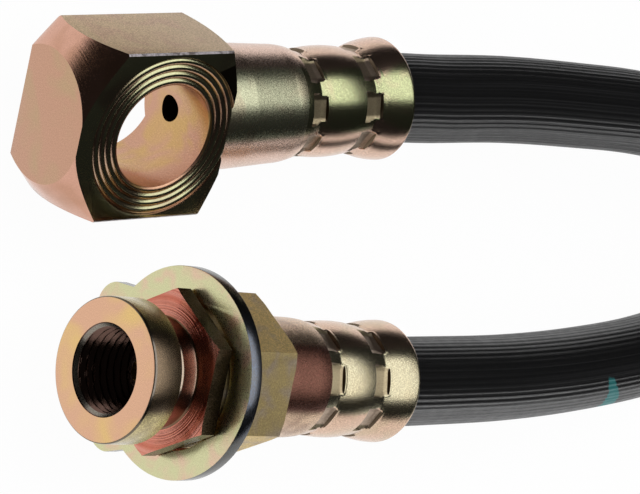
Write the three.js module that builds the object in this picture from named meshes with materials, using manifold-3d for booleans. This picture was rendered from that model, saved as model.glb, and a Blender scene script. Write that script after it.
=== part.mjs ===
// Hydraulic brake hose in millimetres, lying on a table with +Z up.
// One end is a banjo block, the other a threaded socket held by a bracket washer.
import * as THREE from "three";
import { mergeVertices } from "three/addons/utils/BufferGeometryUtils.js";
import Module from "manifold-3d";

const wasm = await Module();
wasm.setup();

// Fit between pieces that touch
const CLEARANCE = 0.3;
// How far a cutter runs past the face that it cuts
const OVERCUT = 1;

// Rubber hose
const HOSE_DIAMETER = 10.5;
const HOSE_BORE = 3.2;
const HOSE_SIDES = 12;
const HOSE_BORE_SIDES = 6;
const HOSE_STEPS = 52;

// Crimped socket, the same tooling on both ends
const SOCKET_DEPTH = 16.5;
const SOCKET_MOUTH_DEPTH = 3;
const SOCKET_TAPER = 1.5;
const CRIMPED_BORE_RADIUS = 4.65;
const CRIMP_WAIST_HALF_WIDTH = 4;
const CRIMP_JAWS = 8;
const CRIMP_JAW_WIDTH = 3.3;
const CRIMP_JAW_LENGTH = 2.1;
const CRIMP_JAW_HEIGHT = 3;
const CRIMP_JAW_SET_BACK = 0.12;
const RIM_ROUND = 0.5;
const PROFILE_STEP = 1;

// Banjo block and its neck
const BLOCK_LENGTH = 19.7;
const BLOCK_WIDTH = 19.4;
const BLOCK_FRONT = 7.3;
const BLOCK_BACK = 4.1;
const BLOCK_END_RADIUS = 7.5;
const BLOCK_NECK_END_RADIUS = 8.8;
const BLOCK_END_CONE = 46.8;
const BLOCK_NECK_CONE = 63.5;
const BANJO_BORE = 11.9;
const BANJO_BORE_FROM_END = 11.1;
const SEAL_RIDGES = 4;
const SEAL_RIDGE_PITCH = 0.78;
const SEAL_RIDGE_DEPTH = 0.3;
const OIL_HOLE = 3;
const BANJO_LENGTH = 46.9;
const BANJO_NECK_RADIUS = 6.75;
const BANJO_RIM_RADIUS = 7.15;
const BANJO_CREST_RADIUS = 6.4;
const BANJO_WAIST_RADIUS = 5.9;
const BANJO_JAW_RADIUS = 5.88;
const BANJO_JAW_TURN = -15.6;
const BANJO_WAISTS = [4.95, 13];

// Female fitting
const FEMALE_LENGTH = 42.75;
const NOSE_RADIUS = 7.85;
const NOSE_LENGTH = 3.95;
const NOSE_CHAMFER = 0.35;
const CLIP_GROOVE_RADIUS = 5.9;
const SMALL_HEX_START = 7.95;
const BIG_HEX_END = 20.3;
const HEX_ACROSS_FLATS = 16.2;
const HEX_TURN = 16.5;
const HEX_CHAMFER = 0.35;
const FEMALE_NECK_RADIUS = 6.75;
const FEMALE_RIM_RADIUS = 7.1;
const FEMALE_CREST_RADIUS = 6.65;
const FEMALE_WAIST_RADIUS = 6.25;
const FEMALE_JAW_RADIUS = 6.05;
const FEMALE_JAW_TURN = 0;
const FEMALE_WAISTS = [5.15, 12.55];
const THREAD_BORE = 9.2;
const THREAD_CHAMFER = 0.4;
const THREAD_DEPTH = 9.4;
const SEAT_BASE_RADIUS = 3.5;
const SEAT_TIP_RADIUS = 1.9;
const SEAT_HEIGHT = 4.2;
const SEAT_HOLE = 2.6;

// Bracket washer, with the flat foot that stops it turning
const WASHER_START = 10.35;
const WASHER_THICKNESS = 1.65;
const WASHER_RADIUS = 11.63;
const WASHER_EDGE_ROUND = 0.25;
const WASHER_TURN = 2;
const FOOT_DROP = 13.2;
const FOOT_HALF_WIDTH = 9.4;
const FOOT_NECK_HALF_WIDTH = 8.95;
const FOOT_CORNER = 3;

// Insert tubes that the crimps press the hose against
const INSERT_RADIUS = 1.9;
const INSERT_BORE_RADIUS = 1.1;
const INSERT_SEAT_DEPTH = 3;
const INSERT_SHORT_OF_RIM = 2;

// Where each fitting lies: its free end, heading, droop and roll in degrees
const BANJO_PLACE = { x: -40.7, y: 14.1, z: 7.57, yaw: 3.93, droop: -4.5, roll: 25 };
const FEMALE_PLACE = { x: -37.4, y: -12.95, z: 13.95, yaw: -3.47, droop: 2.67, roll: 0 };

// Centre of the two fittings' footprint, which becomes the origin
const FOOTPRINT_CENTRE = { x: -17.42, y: 0.31 };

// Hose route between the fittings, from the banjo end out round the loop and back
const HOSE_ROUTE = [
  [13.7, 17.5, 11.7],
  [25.3, 17.8, 12.5],
  [37.2, 17.5, 13.6],
  [49.8, 16.8, 14.5],
  [64.9, 14.3, 15.6],
  [79.2, 8.8, 16.25],
  [92.2, 0.6, 16.3],
  [104, -8.4, 15.4],
  [115.5, -17.6, 13.2],
  [127, -26.8, 10.4],
  [139.9, -36.8, 7.8],
  [154.2, -43.7, 6.1],
  [170, -45.3, 5.4],
  [185.2, -41.2, 5.28],
  [198.2, -32.2, 5.28],
  [207.2, -19.2, 5.28],
  [211.3, -4, 5.28],
  [210, 11.8, 5.28],
  [203.3, 26.1, 5.28],
  [192.1, 37.3, 5.28],
  [177.8, 43.9, 5.28],
  [162, 45.3, 5.28],
  [146.8, 41.2, 5.28],
  [136, 34.2, 5.28],
  [125.5, 26, 5.28],
  [115, 17.6, 5.28],
  [104, 8.8, 5.28],
  [92.5, -0.2, 5.28],
  [82.2, -6.9, 5.4],
  [70.8, -11.6, 6.1],
  [58.7, -14, 7],
  [43.3, -15.4, 8.3],
  [28.1, -15.9, 10],
  [14.1, -15.8, 11.3],
];

const BANJO_SOCKET = {
  rim: BANJO_LENGTH,
  neckRadius: BANJO_NECK_RADIUS,
  rimRadius: BANJO_RIM_RADIUS,
  crestRadius: BANJO_CREST_RADIUS,
  waistRadius: BANJO_WAIST_RADIUS,
  waists: BANJO_WAISTS,
  jawRadius: BANJO_JAW_RADIUS,
  jawTurn: BANJO_JAW_TURN,
};

const FEMALE_SOCKET = {
  rim: FEMALE_LENGTH,
  neckRadius: FEMALE_NECK_RADIUS,
  rimRadius: FEMALE_RIM_RADIUS,
  crestRadius: FEMALE_CREST_RADIUS,
  waistRadius: FEMALE_WAIST_RADIUS,
  waists: FEMALE_WAISTS,
  jawRadius: FEMALE_JAW_RADIUS,
  jawTurn: FEMALE_JAW_TURN,
};

const FINISH = {
  goldPlate: { color: 0xb39a6c, roughness: 0.38, metalness: 0.9 },
  palePlate: { color: 0xd2cba0, roughness: 0.42, metalness: 0.85 },
  insertSteel: { color: 0x8f9290, roughness: 0.45, metalness: 1 },
  blackRubber: { color: 0x1c1c1c, roughness: 0.62, metalness: 0 },
};

// Solid of a closed geometry, facing out
function solidOf(geometry) {
  const bare = geometry.clone();
  bare.deleteAttribute("normal");
  bare.deleteAttribute("uv");
  const merged = mergeVertices(bare, 1e-4);
  const position = merged.getAttribute("position");
  const index = Array.from(merged.getIndex().array);
  const corner = (i) => new THREE.Vector3().fromBufferAttribute(position, i);
  let faces = [];
  let volume = 0;
  for (let i = 0; i < index.length; i += 3) {
    const [a, b, c] = index.slice(i, i + 3);
    if (a === b || b === c || c === a) continue;
    faces.push([a, b, c]);
    volume += corner(a).dot(corner(b).cross(corner(c)));
  }
  if (volume < 0) faces = faces.map(([a, b, c]) => [a, c, b]);
  const mesh = new wasm.Mesh({
    numProp: 3,
    vertProperties: new Float32Array(position.array),
    triVerts: new Uint32Array(faces.flat()),
  });
  return new wasm.Manifold(mesh);
}

function geometryOf(solid) {
  const mesh = solid.getMesh();
  const geometry = new THREE.BufferGeometry();
  geometry.setAttribute("position", new THREE.BufferAttribute(mesh.vertProperties, 3));
  geometry.setIndex(new THREE.BufferAttribute(mesh.triVerts, 1));
  geometry.computeVertexNormals();
  return geometry;
}

const pieceMesh = (name, solid, finish) => {
  const mesh = new THREE.Mesh(geometryOf(solid), new THREE.MeshStandardMaterial(finish));
  mesh.name = name;
  return mesh;
};

// Turned solid about the X axis; the outline is [along, radius] pairs
function turned(outline, segments = 40) {
  const points = outline.map(([along, radius]) => new THREE.Vector2(radius, along));
  return solidOf(new THREE.LatheGeometry(points, segments).rotateZ(-Math.PI / 2));
}

const rod = (from, to, radius, segments) =>
  turned([[from, 0], [from, radius], [to, radius], [to, 0]], segments);

const union = (solids) => solids.reduce((whole, solid) => whole.add(solid));

// Radius of a crimped socket at a distance from its rim
function socketRadius(fromRim, socket) {
  const { neckRadius, rimRadius, crestRadius, waistRadius, waists } = socket;
  const [outer, inner] = waists;
  const middle = (outer + inner) / 2;
  const bulge = (top, distance, reach) =>
    top - (top - waistRadius) * Math.max(0, 1 - distance / reach) ** 2;
  if (fromRim < outer) return bulge(rimRadius, outer - fromRim, outer);
  if (fromRim > inner) return bulge(neckRadius, fromRim - inner, CRIMP_WAIST_HALF_WIDTH);
  const fromWaist = (inner - outer) / 2 - Math.abs(fromRim - middle);
  return bulge(crestRadius, fromWaist, (inner - outer) / 2);
}

// Outside of neck and socket, from inside the fitting's body to the rounded rim
function socketBarrel(from, socket) {
  const { rim, neckRadius, rimRadius } = socket;
  const crimpedLength = Math.max(...socket.waists) + CRIMP_WAIST_HALF_WIDTH;
  const outline = [[from, 0], [from, neckRadius]];
  const stops = [crimpedLength, ...socket.waists.toReversed(), RIM_ROUND];
  for (let i = 1; i < stops.length; i++) {
    const steps = Math.ceil((stops[i - 1] - stops[i]) / PROFILE_STEP);
    for (let j = 0; j < steps; j++) {
      const fromRim = stops[i - 1] + (stops[i] - stops[i - 1]) * (j / steps);
      outline.push([rim - fromRim, socketRadius(fromRim, socket)]);
    }
  }
  outline.push([rim - RIM_ROUND, rimRadius]);
  outline.push([rim - RIM_ROUND * 0.3, rimRadius - RIM_ROUND * 0.3]);
  outline.push([rim, rimRadius - RIM_ROUND]);
  outline.push([rim, 0]);
  return turned(outline);
}

// Everything that is cut into a socket: the hose bore, the insert's seat and the jaw marks
function socketCuts({ rim, waists, jawRadius, jawTurn }) {
  const mouthRadius = HOSE_DIAMETER / 2 + CLEARANCE;
  const bottom = rim - SOCKET_DEPTH;
  const bore = turned([
    [bottom, 0],
    [bottom, CRIMPED_BORE_RADIUS],
    [rim - SOCKET_MOUTH_DEPTH - SOCKET_TAPER, CRIMPED_BORE_RADIUS],
    [rim - SOCKET_MOUTH_DEPTH, mouthRadius],
    [rim + OVERCUT, mouthRadius],
    [rim + OVERCUT, 0],
  ]);
  const seatRadius = INSERT_RADIUS + CLEARANCE;
  const seat = rod(bottom - INSERT_SEAT_DEPTH, bottom + OVERCUT, seatRadius, 16);
  const jaws = [];
  for (const fromRim of waists) {
    for (let i = 0; i < CRIMP_JAWS; i++) {
      const jaw = new THREE.BoxGeometry(CRIMP_JAW_LENGTH, CRIMP_JAW_WIDTH, CRIMP_JAW_HEIGHT);
      jaw.translate(rim - fromRim - CRIMP_JAW_SET_BACK, 0, jawRadius + CRIMP_JAW_HEIGHT / 2);
      const turn = THREE.MathUtils.degToRad(jawTurn) + (i * 2 * Math.PI) / CRIMP_JAWS;
      jaws.push(solidOf(jaw.rotateX(turn)));
    }
  }
  return union([bore, seat, ...jaws]);
}

// Ridged ring round the banjo bore: grooves cut inwards from a seat face at height z
function sealGrooves(faceHeight, side) {
  const inner = BANJO_BORE / 2 + SEAL_RIDGE_PITCH / 2;
  const rings = [];
  for (let i = 0; i < SEAL_RIDGES; i++) {
    const middle = inner + (i + 0.5) * SEAL_RIDGE_PITCH;
    const half = SEAL_RIDGE_PITCH * 0.32;
    const outline = [
      [side * SEAL_RIDGE_DEPTH, middle - half],
      [side * SEAL_RIDGE_DEPTH, middle + half],
      [-side * SEAL_RIDGE_DEPTH, middle],
      [side * SEAL_RIDGE_DEPTH, middle - half],
    ];
    rings.push(turned(outline, 44));
  }
  return union(rings).rotate([0, -90, 0]).translate([BANJO_BORE_FROM_END, 0, faceHeight]);
}

function banjoFitting() {
  const halfWidth = BLOCK_WIDTH / 2;
  const section = new THREE.Shape();
  section.moveTo(0, -halfWidth);
  section.lineTo(BLOCK_LENGTH, -halfWidth);
  section.lineTo(BLOCK_LENGTH, halfWidth);
  section.lineTo(0, halfWidth);
  section.closePath();
  const thickness = BLOCK_FRONT + BLOCK_BACK;
  const bar = new THREE.ExtrudeGeometry(section, { depth: thickness, bevelEnabled: false });
  const cornerRadius = Math.hypot(halfWidth, Math.max(BLOCK_FRONT, BLOCK_BACK)) + 1;
  const coneLength = (radius, angle) =>
    (cornerRadius - radius) / Math.tan(THREE.MathUtils.degToRad(angle));
  const ends = turned([
    [0, 0],
    [0, BLOCK_END_RADIUS],
    [coneLength(BLOCK_END_RADIUS, BLOCK_END_CONE), cornerRadius],
    [BLOCK_LENGTH - coneLength(BLOCK_NECK_END_RADIUS, BLOCK_NECK_CONE), cornerRadius],
    [BLOCK_LENGTH, BLOCK_NECK_END_RADIUS],
    [BLOCK_LENGTH, 0],
  ], 72);
  const block = solidOf(bar.translate(0, 0, -BLOCK_BACK)).intersect(ends);
  const barrel = socketBarrel(BLOCK_LENGTH - OVERCUT, BANJO_SOCKET);
  const boreHeight = thickness / 2 + OVERCUT;
  const bore = rod(-boreHeight, boreHeight, BANJO_BORE / 2, 44)
    .rotate([0, -90, 0])
    .translate([BANJO_BORE_FROM_END, 0, (BLOCK_FRONT - BLOCK_BACK) / 2]);
  const oilHole = rod(BANJO_BORE_FROM_END, BANJO_LENGTH - SOCKET_DEPTH, OIL_HOLE / 2, 16);
  const cuts = union([
    bore,
    oilHole,
    sealGrooves(BLOCK_FRONT, 1),
    sealGrooves(-BLOCK_BACK, -1),
    socketCuts(BANJO_SOCKET),
  ]);
  return pieceMesh("banjo_fitting_body", block.add(barrel).subtract(cuts), FINISH.goldPlate);
}

// Hexagon bar with both ends turned, a flat's middle at the given turn from +Z
function hexBar(from, to) {
  const radius = HEX_ACROSS_FLATS / 2 / Math.cos(Math.PI / 6);
  const hexagon = new THREE.Shape();
  for (let i = 0; i < 6; i++) {
    const angle = (i * Math.PI) / 3;
    hexagon[i ? "lineTo" : "moveTo"](radius * Math.cos(angle), radius * Math.sin(angle));
  }
  hexagon.closePath();
  const bar = new THREE.ExtrudeGeometry(hexagon, { depth: to - from, bevelEnabled: false });
  bar.rotateY(Math.PI / 2);
  bar.translate(from, 0, 0);
  bar.rotateX(THREE.MathUtils.degToRad(-HEX_TURN));
  const limits = turned([
    [from, 0],
    [from, radius - HEX_CHAMFER * 2],
    [from + HEX_CHAMFER, radius + OVERCUT * 0.1],
    [to - HEX_CHAMFER, radius + OVERCUT * 0.1],
    [to, radius - HEX_CHAMFER * 2],
    [to, 0],
  ], 72);
  return solidOf(bar).intersect(limits);
}

function femaleFitting() {
  const nose = turned([
    [0, 0],
    [0, NOSE_RADIUS - NOSE_CHAMFER],
    [NOSE_CHAMFER, NOSE_RADIUS],
    [NOSE_LENGTH, NOSE_RADIUS],
    [NOSE_LENGTH, CLIP_GROOVE_RADIUS],
    [SMALL_HEX_START + OVERCUT, CLIP_GROOVE_RADIUS],
    [SMALL_HEX_START + OVERCUT, 0],
  ], 48);
  const barrel = socketBarrel(BIG_HEX_END - OVERCUT, FEMALE_SOCKET);
  const grooveFloor = HEX_ACROSS_FLATS / 2;
  const grooveTop = WASHER_RADIUS;
  const grooveStart = WASHER_START - CLEARANCE;
  const grooveEnd = WASHER_START + WASHER_THICKNESS + CLEARANCE;
  const washerGroove = turned([
    [grooveStart, grooveFloor],
    [grooveStart, grooveTop],
    [grooveEnd, grooveTop],
    [grooveEnd, grooveFloor],
    [grooveStart, grooveFloor],
  ], 48);
  const threadRadius = THREAD_BORE / 2;
  const port = turned([
    [-OVERCUT, 0],
    [-OVERCUT, threadRadius + THREAD_CHAMFER + OVERCUT],
    [THREAD_CHAMFER, threadRadius],
    [THREAD_DEPTH, threadRadius],
    [THREAD_DEPTH, SEAT_BASE_RADIUS],
    [THREAD_DEPTH - SEAT_HEIGHT, SEAT_TIP_RADIUS],
    [THREAD_DEPTH - SEAT_HEIGHT, 0],
  ]);
  const seatHole = rod(0, FEMALE_LENGTH - SOCKET_DEPTH, SEAT_HOLE / 2, 16);
  const cuts = union([washerGroove, port, seatHole, socketCuts(FEMALE_SOCKET)]);
  const body = union([nose, hexBar(SMALL_HEX_START, BIG_HEX_END), barrel]);
  return pieceMesh("female_fitting_body", body.subtract(cuts), FINISH.goldPlate);
}

// Round washer with a flat foot below, cut from sheet
function bracketWasher() {
  const outline = new THREE.Shape();
  const joinAngle = Math.asin(FOOT_NECK_HALF_WIDTH / WASHER_RADIUS);
  const low = -FOOT_DROP;
  outline.absarc(0, 0, WASHER_RADIUS, -Math.PI / 2 + joinAngle, 1.5 * Math.PI - joinAngle, false);
  outline.lineTo(-FOOT_HALF_WIDTH, low + FOOT_CORNER);
  outline.absarc(-FOOT_HALF_WIDTH + FOOT_CORNER, low + FOOT_CORNER, FOOT_CORNER, Math.PI, 1.5 * Math.PI);
  outline.lineTo(FOOT_HALF_WIDTH - FOOT_CORNER, low);
  outline.absarc(FOOT_HALF_WIDTH - FOOT_CORNER, low + FOOT_CORNER, FOOT_CORNER, 1.5 * Math.PI, 2 * Math.PI);
  outline.closePath();
  const blank = new THREE.ExtrudeGeometry(outline, {
    depth: WASHER_THICKNESS - 2 * WASHER_EDGE_ROUND,
    bevelSize: WASHER_EDGE_ROUND,
    bevelThickness: WASHER_EDGE_ROUND,
    bevelOffset: -WASHER_EDGE_ROUND,
    bevelSegments: 1,
    curveSegments: 22,
  });
  // Sheet plane to the plane across the fitting, its own -Y down
  blank.translate(0, 0, WASHER_EDGE_ROUND);
  blank.rotateZ(Math.PI / 2);
  blank.rotateY(Math.PI / 2);
  blank.translate(WASHER_START, 0, 0);
  blank.rotateX(THREE.MathUtils.degToRad(WASHER_TURN));
  const holeRadius = HEX_ACROSS_FLATS / 2 + CLEARANCE;
  const hole = rod(WASHER_START - OVERCUT, WASHER_START + WASHER_THICKNESS + OVERCUT, holeRadius, 48);
  return pieceMesh("bracket_washer", solidOf(blank).subtract(hole), FINISH.palePlate);
}

// Short tube pressed in the bottom of a socket and up the hose's bore
function insertTube(name, rim) {
  const from = rim - SOCKET_DEPTH - INSERT_SEAT_DEPTH + CLEARANCE;
  const to = rim - INSERT_SHORT_OF_RIM;
  const outside = rod(from, to, INSERT_RADIUS, 16);
  const inside = rod(from - OVERCUT, to + OVERCUT, INSERT_BORE_RADIUS, 16);
  return pieceMesh(name, outside.subtract(inside), FINISH.insertSteel);
}

// End of the hose inside a socket, squeezed down by the crimps
function hoseEnd(rim) {
  const radius = HOSE_DIAMETER / 2;
  const bottom = rim - SOCKET_DEPTH + CLEARANCE;
  const squeezed = CRIMPED_BORE_RADIUS - CLEARANCE;
  const outside = turned([
    [bottom, 0],
    [bottom, squeezed],
    [rim - SOCKET_MOUTH_DEPTH - SOCKET_TAPER + CLEARANCE, squeezed],
    [rim - SOCKET_MOUTH_DEPTH + CLEARANCE, radius - CLEARANCE],
    [rim, radius - CLEARANCE],
    [rim, 0],
  ], 24);
  return outside.subtract(rod(bottom - OVERCUT, rim + OVERCUT, INSERT_RADIUS + CLEARANCE, 16));
}

function placeOf(place) {
  const { degToRad } = THREE.MathUtils;
  const turn = new THREE.Euler(degToRad(place.roll), degToRad(place.droop), degToRad(place.yaw), "ZYX");
  const position = new THREE.Vector3(place.x, place.y, place.z);
  const rotation = new THREE.Quaternion().setFromEuler(turn);
  return new THREE.Matrix4().compose(position, rotation, new THREE.Vector3(1, 1, 1));
}

const placed = (solid, matrix) => solid.transform(matrix.elements);

function hose(banjoPlace, femalePlace) {
  const banjoMouth = (along) => new THREE.Vector3(BANJO_LENGTH + along, 0, 0).applyMatrix4(banjoPlace);
  const femaleMouth = (along) => new THREE.Vector3(FEMALE_LENGTH + along, 0, 0).applyMatrix4(femalePlace);
  const start = -SOCKET_MOUTH_DEPTH + OVERCUT;
  const route = new THREE.CatmullRomCurve3(
    [
      banjoMouth(start),
      banjoMouth(2),
      ...HOSE_ROUTE.map((point) => new THREE.Vector3(...point)),
      femaleMouth(2),
      femaleMouth(start),
    ],
    false,
    "centripetal",
  );
  route.arcLengthDivisions = 2000;
  const section = new THREE.Shape();
  section.absarc(0, 0, HOSE_DIAMETER / 2, 0, 2 * Math.PI);
  const bore = new THREE.Path();
  bore.absarc(0, 0, HOSE_BORE / 2, 0, 2 * Math.PI, true);
  const ring = (path, sides) => path.getSpacedPoints(sides).slice(0, sides);
  const outline = new THREE.Shape(ring(section, HOSE_SIDES));
  outline.holes.push(new THREE.Path(ring(bore, HOSE_BORE_SIDES)));
  const tube = new THREE.ExtrudeGeometry(outline, { steps: HOSE_STEPS, extrudePath: route });
  const ends = [
    placed(hoseEnd(BANJO_LENGTH), banjoPlace),
    placed(hoseEnd(FEMALE_LENGTH), femalePlace),
  ];
  return pieceMesh("hose", union([solidOf(tube), ...ends]), FINISH.blackRubber);
}

function fittingGroup(place, pieces) {
  const group = new THREE.Group();
  group.applyMatrix4(place);
  group.add(...pieces);
  return group;
}

const banjoPlace = placeOf(BANJO_PLACE);
const femalePlace = placeOf(FEMALE_PLACE);
const group = new THREE.Group();
group.position.set(-FOOTPRINT_CENTRE.x, -FOOTPRINT_CENTRE.y, 0);
group.add(
  fittingGroup(banjoPlace, [banjoFitting(), insertTube("banjo_insert_tube", BANJO_LENGTH)]),
  hose(banjoPlace, femalePlace),
  fittingGroup(femalePlace, [
    femaleFitting(),
    bracketWasher(),
    insertTube("female_insert_tube", FEMALE_LENGTH),
  ]),
);

export default group;
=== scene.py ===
"""Brake hose with a banjo block end and a threaded socket end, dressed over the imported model."""

import math

import bmesh
import bpy
from mathutils import Euler, Matrix, Vector


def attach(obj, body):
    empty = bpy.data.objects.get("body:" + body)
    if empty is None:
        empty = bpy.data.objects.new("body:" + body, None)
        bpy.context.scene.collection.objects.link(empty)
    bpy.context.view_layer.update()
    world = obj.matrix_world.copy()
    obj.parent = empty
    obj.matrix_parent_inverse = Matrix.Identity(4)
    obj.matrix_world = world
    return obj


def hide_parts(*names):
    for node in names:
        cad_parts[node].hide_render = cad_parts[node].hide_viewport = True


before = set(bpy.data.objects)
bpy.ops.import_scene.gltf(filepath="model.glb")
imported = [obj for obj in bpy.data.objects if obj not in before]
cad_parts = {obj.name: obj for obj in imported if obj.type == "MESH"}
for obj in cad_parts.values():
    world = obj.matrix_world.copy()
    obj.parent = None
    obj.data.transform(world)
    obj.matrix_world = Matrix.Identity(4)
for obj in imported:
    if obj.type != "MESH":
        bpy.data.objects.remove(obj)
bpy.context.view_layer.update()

bl_info = {
    "name": "Brake hose builder",
    "version": (1, 0, 0),
    "blender": (4, 5, 0),
    "location": "3D View > Sidebar > Brake Hose",
    "description": "Builds a crimped rubber brake hose with its two fittings on a pale table",
    "category": "Add Mesh",
}

MM = 0.001

# Brightness of the lamps for their size, the world's share in diffuse light and in reflections, and how
# far the sheet looks plain white
SOFTBOX_LEVEL = 1.6
STRIP_LEVEL = 2.8
WORLD_FILL = 0.5
WORLD_GLOW = 0.018
SHEET_WHITE = 0.97

# Turned bodies, in millimetres. Outlines start AXIS from the axis, and what lies nearer to it than
# INSIDE_SOCKET is inside a socket.
AXIS = 0.02
INSIDE_SOCKET = 5.4
NOT_IN_SOCKET = -9.0
OIL_WAY_END = 17.0
ROW_STEP = 0.14
RIM_ROUNDING = 0.5
PLAIN_RIM = 2.0
NECK_REACH = 4.0
NECK_SWELL_RUN = 6.0

# Crimp marks, in millimetres apart from the flank's slope
JAW_FLANK = 0.25
JAW_HALF_WIDTH = 1.62
JAW_BURR = 0.05
JAW_BURR_LENGTH = 0.3

# Banjo block, in millimetres and degrees
END_CONE = 46.8
NECK_CONE = 63.5
RIDGES = 4
RIDGE_STEPS = 12
RIDGE_DEPTH = 0.2
WORN_EDGE = 0.22

# Threaded end, in millimetres from its nose, and the hexagon's turn in degrees
SMALL_HEX = 7.95
WASHER_FRONT = 10.35
BIG_HEX_END = 20.3
HEX_TURN = -16.5
PORT_DEPTH = 9.4

# Hose and the paint dab on its lower run, in metres apart from the points across each rib
RIB_POINTS = 4
HOSE_STEP = 0.0015
NEAR_SOCKET = 0.03
DRAWN_IN = 0.0003
DAB_TOP = -0.0165
DAB_MIDDLE = 0.0629
DAB_SLANT = 0.926
DAB_HALF_WIDTH = 0.00068
DAB_WIDENING = 0.3

# Looks: how far up a face has to look to change from the side's hue, partly a painted reflection of the
# floor, to the upper side's, partly a painted tint of the softbox's highlight; the lathe marks, the dark of
# the flecks, and the angle in degrees from which an edge is sharp
UP_HUE_FROM = (0.78, 0.87)
RINGS_PER_MM = 4.0
BANDS_PER_MM = 1.3
FLECK_COLOUR = (0.12, 0.08, 0.05, 1)
SHARP_ANGLE = 28

# Where each fitting lies in millimetres and degrees, as in the part's own source
BANJO_PLACE = {"at": (-40.7, 14.1, 7.57), "yaw": 3.93, "droop": -4.5, "roll": 25.0}
FEMALE_PLACE = {"at": (-37.4, -12.95, 13.95), "yaw": -3.47, "droop": 2.67, "roll": 0.0}
FOOTPRINT_CENTRE = (-17.42, 0.31, 0.0)

# The hose's route between the fittings, in metres, before the footprint is centred
HOSE_ROUTE = [
    (0.0137, 0.0175, 0.0117),
    (0.0253, 0.0178, 0.0125),
    (0.0372, 0.0175, 0.0136),
    (0.0498, 0.0168, 0.0145),
    (0.0649, 0.0143, 0.0156),
    (0.0792, 0.0088, 0.01625),
    (0.0922, 0.0006, 0.0163),
    (0.104, -0.0084, 0.0154),
    (0.1155, -0.0176, 0.0132),
    (0.127, -0.0268, 0.0104),
    (0.1399, -0.0368, 0.0078),
    (0.1542, -0.0437, 0.0061),
    (0.17, -0.0453, 0.0054),
    (0.1852, -0.0412, 0.00528),
    (0.1982, -0.0322, 0.00528),
    (0.2072, -0.0192, 0.00528),
    (0.2113, -0.004, 0.00528),
    (0.21, 0.0118, 0.00528),
    (0.2033, 0.0261, 0.00528),
    (0.1921, 0.0373, 0.00528),
    (0.1778, 0.0439, 0.00528),
    (0.162, 0.0453, 0.00528),
    (0.1468, 0.0412, 0.00528),
    (0.136, 0.0342, 0.00528),
    (0.1255, 0.026, 0.00528),
    (0.115, 0.0176, 0.00528),
    (0.104, 0.0088, 0.00528),
    (0.0925, -0.0002, 0.00528),
    (0.0822, -0.0069, 0.0054),
    (0.0708, -0.0116, 0.0061),
    (0.0587, -0.014, 0.007),
    (0.0433, -0.0154, 0.0083),
    (0.0281, -0.0159, 0.01),
    (0.0141, -0.0158, 0.0113),
]


def size(name, text, millimetres):
    """A length that a user may change, kept in metres."""
    return bpy.props.FloatProperty(
        name=name, description=text, default=millimetres * MM, min=0.0, unit="LENGTH", precision=5
    )


def tint(name, text, red, green, blue):
    """A colour given as it looks on a screen, kept as linear light."""
    return bpy.props.FloatVectorProperty(
        name=name,
        description=text,
        default=screen_colour(red, green, blue)[:3],
        min=0.0,
        max=1.0,
        size=3,
        subtype="COLOR",
    )


def screen_colour(red, green, blue):
    def linear(value):
        value /= 255
        return value / 12.92 if value <= 0.04045 else ((value + 0.055) / 1.055) ** 2.4

    return (linear(red), linear(green), linear(blue), 1.0)


class HoseSettings(bpy.types.PropertyGroup):
    diameter: size("Diameter", "Outside diameter of the hose", 10.5)
    squeezed_radius: size("Squeezed radius", "Radius of the hose under the crimps", 4.35)
    rib_depth: size("Rib depth", "Depth of the fine lengthwise ribs", 0.13)
    ribs: bpy.props.IntProperty(name="Ribs", description="Lengthwise ribs around the hose", default=48, min=0)
    rubber: tint("Rubber", "Colour of the rubber cover", 28, 28, 29)
    dab: tint("Paint dab", "Colour of the paint dab on the rubber", 18, 118, 118)


class CrimpSettings(bpy.types.PropertyGroup):
    depth: size("Depth", "How far the hose goes into a socket", 16.5)
    mouth_depth: size("Mouth", "Depth of the wide mouth before the crimp squeezes the bore", 3.0)
    mouth_radius: size("Mouth radius", "Radius of a socket's mouth", 5.55)
    bore_radius: size("Bore radius", "Radius of the squeezed bore", 4.65)
    jaw_length: size("Jaw length", "Length of each jaw mark along the socket", 2.3)
    jaw_floor: size("Jaw floor", "Width of each jaw mark's flat floor", 2.2)
    jaws: bpy.props.IntProperty(name="Jaws", description="Jaw marks around each waist", default=8, min=3)


class BanjoSettings(bpy.types.PropertyGroup):
    block_length: size("Block length", "Length of the block along the fitting", 19.7)
    block_width: size("Block width", "Width of the block", 19.4)
    block_front: size("Front height", "Front face above the fitting's axis", 7.3)
    block_back: size("Back height", "Back face below the fitting's axis", 4.1)
    bore: size("Bore", "Diameter of the bolt hole", 11.9)
    bore_from_end: size("Bore place", "Bolt hole's distance from the free end", 11.1)
    ridge_pitch: size("Ridge pitch", "Distance between the sealing ridges", 0.78)
    length: size("Length", "Length of the fitting up to the socket's rim", 46.9)
    neck_radius: size("Neck radius", "Radius of the neck", 6.75)
    rim_radius: size("Rim radius", "Radius of the socket's rim", 7.15)
    # The plating colour below is the hue facing up, partly a painted tint of the softbox's highlight
    plating: tint("Plating", "Colour of the plating on the upper side", 188, 194, 148)


class FemaleSettings(bpy.types.PropertyGroup):
    length: size("Length", "Length of the fitting up to the socket's rim", 42.75)
    nose_radius: size("Nose radius", "Radius of the round nose", 7.85)
    nose_length: size("Nose length", "Length of the round nose", 3.95)
    hex_across: size("Hexagon", "Width across the hexagon's flats", 16.2)
    thread_radius: size("Thread radius", "Outer radius of the thread in the port", 4.98)
    thread_pitch: size("Thread pitch", "Pitch of the thread in the port", 1.0)
    neck_radius: size("Neck radius", "Radius of the neck", 6.75)
    rim_radius: size("Rim radius", "Radius of the socket's rim", 7.1)
    # The plating colour below is the hue facing up, partly a painted tint of the softbox's highlight
    plating: tint("Plating", "Colour of the plating on the upper side", 206, 198, 166)


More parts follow.
